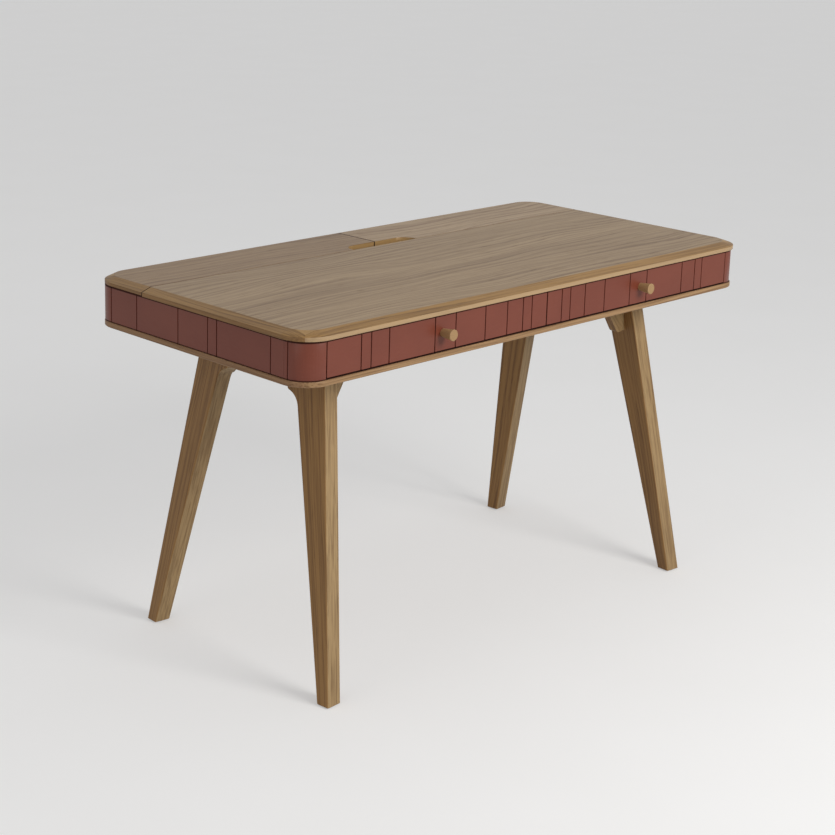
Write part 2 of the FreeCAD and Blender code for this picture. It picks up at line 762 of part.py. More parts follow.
bolts = []
for x, y in bolt_places:
    bolt = screw("leg_bolt", S.bolt_head_radius, S.bolt_head_height, S.bolt_radius,
                 S.plate_thickness + S.bolt_grip)
    place(bolt, x, y, plate_top, roll=180)
    bolts.append(bolt)
glides = []
for name, sign_x, sign_y, leg_y in legs:
    glide = new_body("foot_glide")
    revolve(glide, [(0, 0), (S.glide_radius, 0), (S.glide_radius, S.glide_height), (0, S.glide_height)])
    place(glide, foot_x * sign_x, leg_y + foot_reach * sign_y, 0)
    glides.append(glide)
hand_in(group("leg_bolts", bolts), group("foot_glides", glides))

# Drawers

slide_middle = (plate_top + S.drawer_low + top_low - S.drawer_high) / 2
slide_front = front_back + S.slide_setback
slide_end = partition_front - S.slide_end_gap
inner_reach = S.slide_space - S.slide_wall - S.slide_gap
inner_height = S.slide_height - S.slide_wall * 2 - S.slide_gap * 2
drawer_z = plate_top + S.drawer_low
drawer_high_z = top_low - S.drawer_high
groove_z = drawer_z + S.groove_up
drawer_end = partition_front - S.drawer_back_gap


def channel(name, face_x, toward, reach, height):
    """Slide member: a web on the face, two flanges reaching toward the other member."""
    body = new_body(name)
    sketch = new_sketch(body, f"{name}_section", "XZ_Plane", -slide_end)
    tip = face_x + reach * toward
    web = face_x + S.slide_wall * toward
    low = slide_middle - height / 2
    high = slide_middle + height / 2
    draw_loop(sketch, [
        (face_x, low),
        (tip, low),
        (tip, low + S.slide_wall),
        (web, low + S.slide_wall),
        (web, high - S.slide_wall),
        (tip, high - S.slide_wall),
        (tip, high),
        (face_x, high),
    ])
    pad(body, sketch, slide_end - slide_front)
    return body


for side, sign in sides:
    outer_box = (joint_x - S.slide_space) * sign
    inner_box = (half_board + S.slide_space) * sign
    outer_face = (joint_x - S.front_gap) * sign
    middle_face = S.front_gap_middle / 2 * sign
    knob_x = (outer_face + middle_face) / 2
    knob_z = (plate_top + S.front_gap_low + top_low - S.front_gap) / 2
    front = board(
        f"{side}_drawer_front",
        *sorted((outer_face, middle_face), key=number),
        band_front,
        front_back,
        plate_top + S.front_gap_low,
        top_low - S.front_gap,
    )
    kerf_places = [joint_x * share * sign for share in front_kerf_shares]
    cut_kerfs(
        front,
        [(x - kerf_half, x + kerf_half, band_front, band_front + S.kerf_depth) for x in kerf_places],
        plate_top + S.front_gap_low,
        top_low - S.front_gap,
    )
    low_x, high_x = sorted((outer_box, inner_box), key=number)
    inside_low = low_x + S.drawer_side
    inside_high = high_x - S.drawer_side
    groove_low = inside_low - S.groove_depth
    groove_high = inside_high + S.groove_depth
    groove_front = front_back - S.groove_depth
    groove_back = drawer_end - S.drawer_side + S.groove_depth
    groove = (groove_low, groove_high, groove_front, groove_back, groove_z, groove_z + S.drawer_bottom)
    left_side = board(f"{side}_drawer_left_side", low_x, inside_low, front_back, drawer_end,
                      drawer_z, drawer_high_z)
    right_side = board(f"{side}_drawer_right_side", inside_high, high_x, front_back, drawer_end,
                       drawer_z, drawer_high_z)
    back = board(f"{side}_drawer_back", inside_low, inside_high, drawer_end - S.drawer_side,
                 drawer_end, drawer_z, drawer_high_z)
    for piece in (front, left_side, right_side, back):
        cut_box(piece, *groove)
    bottom = board(f"{side}_drawer_bottom", groove_low + S.fit_gap, groove_high - S.fit_gap,
                   groove_front + S.fit_gap, groove_back - S.fit_gap, groove_z, groove_z + S.drawer_bottom)
    cut_hole_back(front, knob_x, knob_z, S.knob_screw_radius + S.fit_gap, band_front, front_back)

    knob = new_body(f"{side}_knob")
    revolve(knob, [
        (0, 0),
        (S.knob_base_radius, 0),
        (S.knob_face_radius, S.knob_length - S.knob_arris),
        (S.knob_face_radius - S.knob_arris, S.knob_length),
        (0, S.knob_length),
    ])
    cut_hole_down(knob, 0, 0, S.knob_screw_radius + S.fit_gap, 0, S.knob_screw_grip + S.fit_gap)
    place(knob, knob_x, band_front, knob_z, roll=90)
    knob_screw = screw(f"{side}_knob_screw", S.knob_screw_head, S.knob_screw_head_height,
                       S.knob_screw_radius,
                       S.knob_screw_head_height + S.band_board + S.knob_screw_grip)
    place(knob_screw, knob_x, front_back + S.knob_screw_head_height, knob_z, roll=90)

    runner_face = joint_x * sign
    divider_face = half_board * sign
    outer_slides = group(f"{side}_drawer_outer_slides", [
        channel(f"{side}_outer_slide", runner_face, -sign, S.slide_space - S.slide_gap, S.slide_height),
        channel(f"{side}_outer_slide", divider_face, sign, S.slide_space - S.slide_gap, S.slide_height),
    ])
    inner_slides = group(f"{side}_drawer_inner_slides", [
        channel(f"{side}_inner_slide", outer_box, sign, inner_reach, inner_height),
        channel(f"{side}_inner_slide", inner_box, -sign, inner_reach, inner_height),
    ])
    hand_in(front, left_side, right_side, back, bottom, knob, knob_screw, outer_slides, inner_slides)

# Hinges: leaves with knuckles, pins and screws

knuckle_end = hinge_half / 3
pin_bore = S.pin_radius + S.pin_play
knuckle_room = knuckle_end + S.knuckle_gap / 2
moving_knuckle = knuckle_end - S.knuckle_gap / 2
knuckle_box = (axis_y - relief, axis_y + relief)


def leaf(name, x, plate, plate_height, low_z):
    """Leaf plate and a full row of knuckles, before the other leaf's knuckles are cut free."""
    body = new_body(name)
    section = new_sketch(body, f"{name}_plate", "YZ_Plane", -hinge_half)
    draw_rectangle(section, *plate, low_z, low_z + plate_height)
    pad(body, section, S.hinge_width)
    barrel = new_sketch(body, f"{name}_barrel", "YZ_Plane", -hinge_half)
    draw_circle(barrel, axis_y, axis_z, S.knuckle_radius)
    pad(body, barrel, S.hinge_width)
    place(body, x, 0, 0)
    return body


def cut_barrel(body, low_x, high_x, low_z, high_z):
    cut_box(body, low_x, high_x, *knuckle_box, low_z, high_z)


def bore_barrel(body):
    bore = new_sketch(body, f"{body.Name}_bore", "YZ_Plane", hinge_half)
    draw_circle(bore, axis_y, axis_z, pin_bore)
    pocket(body, bore, S.hinge_width)


for side, sign in sides:
    fixed_leaves = []
    moving_leaves = []
    pins = []
    fixed_screws = []
    moving_screws = []
    for hinge_place in hinge_places:
        hinge_x = hinge_place * sign
        fixed = leaf(f"{side}_fixed_leaf", hinge_x, (band_back - S.leaf_thickness, band_back),
                     S.leaf_length, axis_z - S.leaf_length)
        cut_barrel(fixed, -knuckle_room, knuckle_room, axis_z - relief, axis_z + relief)
        bore_barrel(fixed)
        moving = leaf(f"{side}_moving_leaf", hinge_x, (axis_y - S.leaf_length, axis_y),
                      S.leaf_thickness, flap_low)
        cut_barrel(moving, -hinge_half, -moving_knuckle, axis_z - relief, axis_z + relief)
        cut_barrel(moving, moving_knuckle, hinge_half, axis_z - relief, axis_z + relief)
        bore_barrel(moving)
        pin = new_body(f"{side}_pin")
        pin_section = new_sketch(pin, f"{side}_pin_section", "YZ_Plane", -hinge_half)
        draw_circle(pin_section, axis_y, axis_z, S.pin_radius)
        pad(pin, pin_section, S.hinge_width)
        place(pin, hinge_x, 0, 0)
        for step in (-1, 1):
            offset = S.hinge_screw_offset * step
            head_hole = S.hinge_screw_head + S.fit_gap
            cut_hole_back(fixed, offset, fixed_screw_z, head_hole, band_back - S.leaf_thickness,
                          band_back)
            cut_hole_down(moving, offset, moving_screw_y, head_hole, flap_low,
                          flap_low + S.leaf_thickness)
            fixed_screw = screw(f"{side}_fixed_screw", S.hinge_screw_head, S.leaf_thickness,
                                S.hinge_screw_radius, S.hinge_screw_length)
            place(fixed_screw, hinge_x + offset, band_back, fixed_screw_z, roll=90)
            moving_screw = screw(f"{side}_moving_screw", S.hinge_screw_head, S.leaf_thickness,
                                 S.hinge_screw_radius, S.hinge_screw_length)
            place(moving_screw, hinge_x + offset, moving_screw_y, flap_low)
            fixed_screws.append(fixed_screw)
            moving_screws.append(moving_screw)
        fixed_leaves.append(fixed)
        moving_leaves.append(moving)
        pins.append(pin)
    hand_in(
        group(f"{side}_flap_fixed_leaves", fixed_leaves),
        group(f"{side}_flap_moving_leaves", moving_leaves),
        group(f"{side}_flap_pins", pins),
        group(f"{side}_flap_fixed_screws", fixed_screws),
        group(f"{side}_flap_moving_screws", moving_screws),
    )

# Check everything and write the pieces

doc.recompute()
for thing in doc.Objects:
    if "Invalid" in thing.State or "Error" in thing.State:
        raise RuntimeError(f"{thing.Name} did not build: {thing.State}")
    if thing.TypeId == "PartDesign::Pocket":
        removed = thing.BaseFeature.Shape.Volume - thing.Shape.Volume
        if removed <= 0:
            raise RuntimeError(f"{thing.Name} cuts nothing")
for node in made_nodes:
    if node.Shape.isNull() or not node.Shape.isValid():
        raise RuntimeError(f"{node.Label} has no valid shape")
    node.Shape.exportStep(f"parts/{node.Label}.step")
    print(node.Label, len(node.Shape.Solids), round(node.Shape.Volume))
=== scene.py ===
import math

import bpy
from mathutils import Matrix, Vector


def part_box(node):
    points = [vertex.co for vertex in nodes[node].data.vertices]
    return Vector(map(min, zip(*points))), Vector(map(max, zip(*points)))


# Looks of the desk: oak tabletop, plate, legs and knobs, painted grooved band, steel fittings.

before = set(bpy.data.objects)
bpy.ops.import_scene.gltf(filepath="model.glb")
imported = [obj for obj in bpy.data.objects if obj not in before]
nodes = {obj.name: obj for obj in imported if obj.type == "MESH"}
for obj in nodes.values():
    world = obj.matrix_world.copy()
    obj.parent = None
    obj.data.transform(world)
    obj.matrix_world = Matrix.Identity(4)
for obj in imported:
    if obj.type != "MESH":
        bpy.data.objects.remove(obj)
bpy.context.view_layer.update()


# Shader helpers

class Value:
    """A number that varies over a surface; expressions on it add Math nodes."""

    def __init__(self, shader, socket):
        self.shader = shader
        self.socket = socket

    def math(self, operation, *values):
        made = self.shader.node("ShaderNodeMath", {"operation": operation}, dict(enumerate(values)))
        return Value(self.shader, made.outputs[0])

    def __add__(self, other):
        return self.math("ADD", self, other)

    def __sub__(self, other):
        return self.math("SUBTRACT", self, other)

    def __rsub__(self, other):
        return self.math("SUBTRACT", other, self)

    def __mul__(self, other):
        return self.math("MULTIPLY", self, other)

    def __truediv__(self, other):
        return self.math("DIVIDE", self, other)

    def __gt__(self, other):
        return self.math("GREATER_THAN", self, other)

    def __lt__(self, other):
        return self.math("LESS_THAN", self, other)

    def __abs__(self):
        return self.math("ABSOLUTE", self)

    def sine(self):
        return self.math("SINE", self)

    def larger(self, other):
        return self.math("MAXIMUM", self, other)

    def smaller(self, other):
        return self.math("MINIMUM", self, other)

    def root(self):
        return self.math("SQRT", self)

    def power(self, other):
        return self.math("POWER", self, other)

    def ramp(self, low, high):
        """0 below low, 1 above high, smooth between."""
        made = self.shader.node(
            "ShaderNodeMapRange",
            {"interpolation_type": "SMOOTHSTEP"},
            {"Value": self, "From Min": low, "From Max": high},
        )
        return Value(self.shader, made.outputs[0])


class Shader:
    """One material and the nodes it is made of."""

    def __init__(self, name):
        self.material = bpy.data.materials.new(name)
        self.material.use_nodes = True
        self.tree = self.material.node_tree
        self.surface = self.tree.nodes["Principled BSDF"]
        coordinates = self.node("ShaderNodeTexCoord", {}, {})
        self.place = coordinates.outputs["Object"]
        self.facing = coordinates.outputs["Normal"]

    def node(self, kind, settings, values):
        made = self.tree.nodes.new(kind)
        for key, setting in settings.items():
            setattr(made, key, setting)
        for key, value in values.items():
            self.feed(made.inputs[key], value)
        return made

    def feed(self, socket, value):
        if isinstance(value, Value):
            value = value.socket
        if isinstance(value, bpy.types.NodeSocket):
            self.tree.links.new(value, socket)
        else:
            socket.default_value = value

    def dot(self, vector, direction):
        made = self.node("ShaderNodeVectorMath", {"operation": "DOT_PRODUCT"}, {
            0: vector,
            1: tuple(direction),
        })
        return Value(self, made.outputs["Value"])

    def axes(self):
        made = self.node("ShaderNodeSeparateXYZ", {}, {0: self.place})
        return [Value(self, made.outputs[index]) for index in range(3)]

    def vector(self, x, y, z):
        return self.node("ShaderNodeCombineXYZ", {}, {0: x, 1: y, 2: z}).outputs[0]

    def noise(self, vector, scale=1.0, detail=2.0, roughness=0.5):
        made = self.node("ShaderNodeTexNoise", {}, {
            "Vector": vector,
            "Scale": scale,
            "Detail": detail,
            "Roughness": roughness,
        })
        return Value(self, made.outputs[0])

    def mix(self, factor, first, second, blend="MIX"):
        """Two colours mixed; 6 and 7 are the node's colour inputs, 2 its colour output."""
        made = self.node("ShaderNodeMix", {"data_type": "RGBA", "blend_type": blend}, {
            0: factor,
            6: first,
            7: second,
        })
        return made.outputs[2]

    def tint(self, colour, share):
        """Colour times a share of red, green and blue."""
        return self.mix(1.0, colour, share, "MULTIPLY")

    def bump(self, height, distance, strength):
        made = self.node("ShaderNodeBump", {}, {
            "Height": height,
            "Distance": distance,
            "Strength": strength,
        })
        return made.outputs[0]

    def finish(self, **values):
        for key, value in values.items():
            self.feed(self.surface.inputs[key.replace("_", " ")], value)
        return self.material


def srgb(red, green, blue):
    """Colour as it is seen, 0 to 255, turned into the shader's linear values."""
    parts = []
    for part in (red, green, blue):
        share = part / 255
        parts.append(share / 12.92 if share <= 0.04045 else ((share + 0.055) / 1.055) ** 2.4)
    return (*parts, 1.0)


# Places read from the frame, in metres

top_low, top_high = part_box("desk_top")
flap_low, flap_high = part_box("left_flap")
half_x = top_high.x
front_edge = top_low.y
rear_edge = flap_high.y
flap_front = flap_low.y
table_z = top_high.z
under_top = top_low.z
plate_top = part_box("bottom_panel")[1].z
band_x = -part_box("left_side_panel")[0].x
band_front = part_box("front_left_post")[0].y
band_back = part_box("back_panel")[1].y
band_middle = (band_front + band_back) / 2
band_half = (band_back - band_front) / 2

# Small sizes used in the materials, in metres

bevel_width = 0.022
rear_bevel_width = 0.013
bevel_height = 0.0077
face_play = 0.0002
flat_play = 0.0003
strip_start, strip_end = 0.0004, 0.018
seam_depth = 0.0018
flap_line_half, flap_line_start = 0.0017, 0.0025
notch_shade_depth, notch_shade_reach = 0.0120, 0.002
post_kerf = band_front + 0.0438
kerf_half = 0.0014
kerf_start, kerf_end, post_kerf_start = 0.0006, 0.006, 0.0009
contact_high, contact_high_soft = 0.0048, 0.0008
contact_low, contact_low_soft = 0.0026, 0.0012
pith_offset_x, pith_offset_z = 0.006, 0.009
knob_ring = 0.0016

# Distances from the tabletop's outline, as shares of its bevel

past_bevel = 1.1
seam_end_reach = 1.2


# Materials

oak_light, oak_dark, oak_pore = srgb(175, 146, 104), srgb(122, 94, 60), srgb(76, 54, 32)
# Painted shade on the legs' broad faces, which look along X.
broad_face_shade_tint = (0.80, 0.64, 0.44, 1.0)
# Painted shade on the sides of the plate and the tabletop lipping that look along X.
side_shade_tint = (0.84, 0.78, 0.78, 1.0)
ply_light, ply_dark, ply_pore = srgb(214, 186, 146), srgb(190, 158, 116), srgb(150, 118, 80)
# Painted shade: dark brown along the joints under the tabletop and above the plate, and on the plate's
# strip under the band.
shade_brown = srgb(60, 24, 12)
# Painted shade in the saw kerfs and at the posts' joints.
kerf_shade_brown = srgb(98, 44, 30)


class Wood:
    """Oak figure on one shader: growth lines, streaks, fibres and pores along a direction."""

    def __init__(self, shader, along, across, seed, spacing, swirl):
        self.shader = shader
        along = Vector(along).normalized()
        through = along.cross(Vector(across)).normalized()
        across = through.cross(along).normalized()
        length = shader.dot(shader.place, along) + seed
        width = shader.dot(shader.place, across)
        depth = shader.dot(shader.place, through)

        def grain(place, lengthwise, crosswise, detail, roughness=0.5):
            """Noise with about this many patches a metre along and across the wood."""
            return shader.noise(
                shader.vector(length * lengthwise, place * crosswise, depth * crosswise + seed),
                detail=detail, roughness=roughness,
            )

        flow = width + (grain(width, 1.7, 5.5, 1) * swirl + grain(width, 6, 40, 2) * 0.5) * spacing
        wave = ((flow + depth * 0.6) * (math.tau / spacing)).sine() * 0.5 + 0.5
        patch = grain(flow, 1.8, 16, 2)
        self.rings = wave.power(4) * patch.ramp(0.36, 0.60)
        self.streaks = grain(flow, 3.2, 230, 2, 0.6)
        self.fibres = grain(flow, 11, 600, 3, 0.7)
        dashes = grain(flow, 22, 480, 1)
        self.pores = dashes.ramp(0.60, 0.72) * (self.rings * 0.6 + 0.4)
        self.cloud = grain(width, 1.3, 9, 2)

    def tone(self, rings, streaks):
        """0 light to 1 dark."""
        return (
            self.rings * rings + self.streaks.ramp(0.42, 0.62) * streaks
            + self.fibres.ramp(0.3, 0.7) * 0.16 + self.cloud.ramp(0.32, 0.68) * 0.18 - 0.02
        )


def wood_colour(wood, light, dark, pore, pore_strength, rings=0.30, streaks=0.46):
    """Light wood with its dark lines, and the pores on top."""
    lines = wood.shader.mix(wood.tone(rings, streaks), light, dark)
    return wood.shader.mix(wood.pores * pore_strength, lines, pore)


def oak(name, along, across, light, dark, pore, seed, spacing, swirl,
        pore_strength=0.6, roughness=0.5, face=None):
    """Board; face is the darker tint, painted shade, of the broad faces, which look along X."""
    shader = Shader(name)
    wood = Wood(shader, along, across, seed, spacing, swirl)
    colour = wood_colour(wood, light, dark, pore, pore_strength)
    if face:
        colour = shader.mix(wood.streaks.ramp(0.52, 0.64) * 0.15, colour, dark)
        # Painted shade: the broad faces take the darker tint.
        broad = abs(shader.dot(shader.facing, (1, 0, 0))).ramp(0.45, 0.75)
        colour = shader.mix(broad, colour, shader.tint(colour, face))
    height = wood.fibres * 0.35 - wood.pores
    return shader.finish(
        Base_Color=colour,
        Roughness=wood.fibres * 0.16 + wood.pores * 0.15 + (roughness - 0.08),
        Normal=shader.bump(height, distance=0.00012, strength=0.7),
        Specular_IOR_Level=0.35,
    )


def plate(name, seed):
    """Oak plate, with painted shade on the strip under the band."""
    shader = Shader(name)
    x, y, z = shader.axes()
    front_wood = Wood(shader, (1, 0, 0), (0, 0.25, 1), seed, spacing=0.008, swirl=2.2)
    side_wood = Wood(shader, (0, 1, 0), (0.25, 0, 1), seed + 2, spacing=0.008, swirl=2.2)
    plate_light, plate_dark = srgb(172, 137, 98), srgb(118, 86, 54)
    front = wood_colour(front_wood, plate_light, plate_dark, oak_pore, pore_strength=0.55)
    side = wood_colour(side_wood, plate_light, plate_dark, oak_pore, pore_strength=0.55)
    # Painted shade on the plate's edges that look along X.
    side = shader.tint(side, side_shade_tint)
    on_side = (abs(x) - band_x) > (abs(y - band_middle) - band_half)
    inside = (band_x - abs(x)).smaller(band_half - abs(y - band_middle))
    on_top = z > plate_top - face_play
    # Painted shade on the plate's top strip under the band.
    shade = (inside > strip_start) * (inside < strip_end) * on_top
    height = front_wood.fibres * 0.35 - front_wood.pores
    return shader.finish(
        Base_Color=shader.mix(shade, shader.mix(on_side * (1 - on_top), front, side), shade_brown),
        Roughness=(front_wood.fibres * 0.16 + 0.42).larger(shade),
        Normal=shader.bump(height, distance=0.0001, strength=0.6),
        Specular_IOR_Level=0.35,
    )


def tabletop(name, seed, light=srgb(167, 142, 109), dark=srgb(117, 91, 62)):
    """Veneered flat with a solid oak lipping all round, mitred at the corners."""
    shader = Shader(name)
    x, y, z = shader.axes()
    veneer = Wood(shader, (1, 0, 0), (0, 1, 0), seed, spacing=0.021, swirl=6.5)
    front_lip = Wood(shader, (1, 0, 0), (0, 1, 0.6), seed + 3, spacing=0.010, swirl=2.2)
    side_lip = Wood(shader, (0, 1, 0), (1, 0, 0.6), seed + 5, spacing=0.010, swirl=2.2)
    veneer_pore = srgb(84, 62, 42)
    lip_light, lip_dark, lip_pore = srgb(158, 122, 72), srgb(110, 79, 41), srgb(72, 48, 25)
    # Painted light: the upright front and rear edges are lightened, and the cut faces are brightened
    # against the shade in the notch.
    upright_highlight, cut_brightened = srgb(206, 178, 142), srgb(176, 142, 94)
    # Painted shade in the notch and in the gap between the flaps.
    notch_brown, gap_shade_brown = srgb(52, 34, 18), srgb(44, 29, 16)
    # Painted shade on the seam faces between the fixed top and the flaps, lighter near the ends.
    seam_shade_end, seam_shade_middle = srgb(116, 88, 56), srgb(50, 34, 20)
    flat = wood_colour(veneer, light, dark, veneer_pore, pore_strength=0.6, rings=0.44, streaks=0.42)
    from_end = (half_x - abs(x)) / bevel_width
    from_edge = ((y - front_edge) / bevel_width).smaller((rear_edge - y) / rear_bevel_width)
    on_end = from_end < from_edge
    lip = shader.mix(
        on_end,
        wood_colour(front_lip, lip_light, lip_dark, lip_pore, pore_strength=0.55),
        wood_colour(side_lip, lip_light, lip_dark, lip_pore, pore_strength=0.55),
    )
    on_flat = z > table_z - flat_play
    cut_edge = from_end.smaller(from_edge) > past_bevel
    upright = (z < table_z - bevel_height - face_play) * (1 - cut_edge) * (1 - on_end)
    # Painted light on the upright front and rear edges.
    lip = shader.mix(upright * 0.5, lip, upright_highlight)
    # Painted light: the cut faces, the notch walls and the underside, are brightened against the shade in
    # the notch.
    lip = shader.mix(cut_edge * 0.6, lip, cut_brightened)
    notch_shade = cut_edge * (z < table_z - notch_shade_depth) * (y < flap_front + notch_shade_reach)
    lip = shader.mix(notch_shade, lip, notch_brown)
    # Painted shade on the seam faces, lighter near the ends.
    seam_face = (y < flap_front + flat_play) * (y > flap_front - seam_depth)
    lip = shader.mix(seam_face, lip, shader.mix(from_end < seam_end_reach, seam_shade_end, seam_shade_middle))
    # Painted shade on the lipping faces that look along X.
    ends = abs(shader.dot(shader.facing, (1, 0, 0))).ramp(0.5, 0.8) * (1 - cut_edge)
    lip = shader.mix(ends, lip, shader.tint(lip, side_shade_tint))
    # Painted shade in the gap between the flaps.
    between_flaps = (abs(x) < flap_line_half) * (y > flap_front - flap_line_start)
    flat_height = (veneer.fibres * 0.35 - veneer.pores) * on_flat
    lip_height = (front_lip.fibres * 0.3 - front_lip.pores) * (1 - on_flat)
    return shader.finish(
        Base_Color=shader.mix(between_flaps, shader.mix(on_flat, lip, flat), gap_shade_brown),
        Roughness=(veneer.fibres * 0.14 + veneer.pores * 0.16 + 0.40).larger(between_flaps * 0.9),
        Normal=shader.bump(flat_height + lip_height, distance=0.00012, strength=0.6),
        Specular_IOR_Level=0.4,
    )


def paint(name, is_post):
    """Satin terracotta paint, with painted shade in the saw kerfs and along the joints to the oak."""
    shader = Shader(name)
    x, y, z = shader.axes()
    cloud = shader.noise(shader.place, scale=9, detail=3)
    peel = shader.noise(shader.place, scale=900, detail=2)
    dust = shader.noise(shader.vector(x * 60, y * 60, z * 260), detail=3)
    colour = shader.mix(cloud.ramp(0.3, 0.7), srgb(120, 58, 40), srgb(114, 54, 37))
    colour = shader.mix(dust.ramp(0.45, 0.8) * 0.22, colour, srgb(127, 65, 47))
    # Painted shade in the saw kerfs and at the posts' joints.
    if is_post:
        in_kerf = (abs(y - post_kerf) < kerf_half) * (abs(x) < band_x - post_kerf_start)
    else:
        outline = (abs(x) - band_x).larger(abs(y - band_middle) - band_half)
        in_kerf = (outline < -kerf_start) * (outline > -kerf_end)
    upright = abs(shader.dot(shader.facing, (0, 0, 1))) < 0.5
    # Painted shade along the joints under the tabletop and above the plate.
    above = (z - (under_top - contact_high)).ramp(0, contact_high_soft)
    below = (plate_top + contact_low - z).ramp(0, contact_low_soft)
    contact_shade = above.larger(below) * upright
    return shader.finish(
        Base_Color=shader.mix(in_kerf * upright, shader.mix(contact_shade, colour, shade_brown), kerf_shade_brown),
        Roughness=(cloud * 0.10 + peel * 0.08 + 0.32).larger(contact_shade),
        Normal=shader.bump(peel * 0.7 + dust * 0.3, distance=0.00004, strength=0.5),
        Specular_IOR_Level=0.42,
    )


def steel(name, tone, along):
    """Zinc-plated steel, brushed along one axis."""
    shader = Shader(name)
    x, y, z = shader.axes()
    lengthwise, crosswise = 40, 1500
    stretch = {axis: lengthwise if axis == along else crosswise for axis in "xyz"}
    brushed = shader.noise(shader.vector(x * stretch["x"], y * stretch["y"], z * stretch["z"]), detail=2)
    cloud = shader.noise(shader.place, scale=60, detail=3)
    return shader.finish(
        Base_Color=shader.mix(cloud, srgb(*tone), srgb(*(part * 0.82 for part in tone))),
        Metallic=1.0,
        Roughness=brushed * 0.2 + cloud * 0.1 + 0.22,
        Normal=shader.bump(brushed, distance=0.00003, strength=0.5),
    )


def plastic(name, low, high):
    """Dull moulded plastic."""
    shader = Shader(name)
    grain = shader.noise(shader.place, scale=1400, detail=2)
    cloud = shader.noise(shader.place, scale=70, detail=2)
    return shader.finish(
        Base_Color=shader.mix(cloud, srgb(*low), srgb(*high)),
        Roughness=grain * 0.15 + 0.5,
        Normal=shader.bump(grain, distance=0.00005, strength=0.6),
    )


def end_grain(name, centre, seed):
    """Oak turned with its grain along Y: rings round a pith beside the middle, and fibres."""
    shader = Shader(name)
    x, y, z = shader.axes()
    pith_x = x - centre.x + pith_offset_x
    pith_z = z - centre.z + pith_offset_z
    reach = (pith_x * pith_x + pith_z * pith_z).root()
    wobble = shader.noise(shader.place, scale=90, detail=2)
    rings = ((reach / knob_ring + wobble * 1.5) * math.tau).sine() * 0.5 + 0.5
    fibres = shader.noise(shader.vector(x * 1400, y * 60 + seed, z * 1400), detail=2)
    colour = shader.mix(rings * 0.4 + fibres * 0.4, srgb(182, 149, 106), srgb(138, 104, 67))
    colour = shader.mix(fibres.ramp(0.62, 0.75) * 0.6, colour, srgb(104, 74, 46))
    return shader.finish(
        Base_Color=colour,
        Roughness=fibres * 0.2 + 0.42,
        Normal=shader.bump(rings * 0.4 + fibres * 0.6, distance=0.00008, strength=0.6),
        Specular_IOR_Level=0.35,
    )


def put(material, *names):
    """Give one material to the named pieces."""
    for name in names:
        mesh = nodes[name].data
        mesh.materials.clear()
        mesh.materials.append(material)


put(tabletop("oak_top", 0.0), "desk_top")
put(tabletop("oak_flap_left", 7.3, srgb(157, 130, 97), srgb(113, 85, 57)), "left_flap")
# The right flap's lighter tones are painted sheen.
put(tabletop("oak_flap_right", 11.9, srgb(181, 156, 124), srgb(129, 101, 73)), "right_flap")
put(plate("oak_plate", 2.7), "bottom_panel")
put(paint("paint_posts", True), "front_left_post", "front_right_post", "rear_left_post", "rear_right_post")
put(
    paint("paint_grooved", False),
    "left_side_panel", "right_side_panel", "back_panel", "left_drawer_front", "right_drawer_front",
)
put(
    oak("birch_long", (1, 0, 0), (0, 0, 1), ply_light, ply_dark, ply_pore, seed=4.1,
        spacing=0.02, swirl=1.5, pore_strength=0.2, roughness=0.55),
    "compartment_partition", "left_flap_rest", "right_flap_rest",
    "left_drawer_back", "right_drawer_back", "left_drawer_bottom", "right_drawer_bottom",
)
put(
    oak("birch_deep", (0, 1, 0), (0, 0, 1), ply_light, ply_dark, ply_pore, seed=6.2,
        spacing=0.02, swirl=1.5, pore_strength=0.2, roughness=0.55),
    "centre_divider", "left_runner_board", "right_runner_board",
    "left_drawer_left_side", "left_drawer_right_side", "right_drawer_left_side", "right_drawer_right_side",
)

# Every leg leans outward by this much for each metre down

leg_lean = Vector((0.1047, 0.1964, -1.0))
for row, (end, end_sign) in enumerate((("front", -1), ("rear", 1))):
    for number, (side, side_sign) in enumerate((("left", -1), ("right", 1))):
        name = f"{end}_{side}"
        leg_seed = 1.7 + row * 5.3 + number * 3.1
        leg_along = (leg_lean.x * side_sign, leg_lean.y * end_sign, leg_lean.z)
        leg_across = (0.25 * side_sign, end_sign, 0)
        put(
            oak(f"oak_leg_{name}", leg_along, leg_across, oak_light, oak_dark, oak_pore,
                leg_seed, spacing=0.012, swirl=3.0, face=broad_face_shade_tint),
            f"{name}_leg",
        )
        corbel_seed = 8.1 + row * 2.3 + number * 4.7
        corbel_along = (side_sign, 0, -1.3)
        corbel_across = (1, 0, side_sign * 0.8)
        put(
            oak(f"oak_corbel_{name}", corbel_along, corbel_across, oak_light, oak_dark, oak_pore,
                corbel_seed, spacing=0.012, swirl=2.0, face=broad_face_shade_tint),
            f"{name}_corbel",
        )

for side, seed in (("left", 1.0), ("right", 2.4)):
    low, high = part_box(f"{side}_knob")
    put(end_grain(f"oak_knob_{side}", (low + high) / 2, seed), f"{side}_knob")

put(
    steel("zinc_slides", (196, 198, 200), "y"),
    "left_drawer_outer_slides", "right_drawer_outer_slides",
    "left_drawer_inner_slides", "right_drawer_inner_slides",
)
put(
    steel("zinc_hinges", (188, 188, 186), "x"),
    "left_flap_fixed_leaves", "right_flap_fixed_leaves",
    "left_flap_moving_leaves", "right_flap_moving_leaves",
    "left_flap_pins", "right_flap_pins",
)
put(
    steel("zinc_screws", (176, 176, 172), "z"),
    "leg_bolts", "left_knob_screw", "right_knob_screw",
    "left_flap_fixed_screws", "right_flap_fixed_screws",
    "left_flap_moving_screws", "right_flap_moving_screws",
)
put(plastic("plastic_glides", (34, 32, 30), (44, 42, 39)), "foot_glides")
put(plastic("plastic_grommet", (38, 34, 30), (48, 43, 38)), "cable_grommet")

# Small soft arrises on the boards, in metres

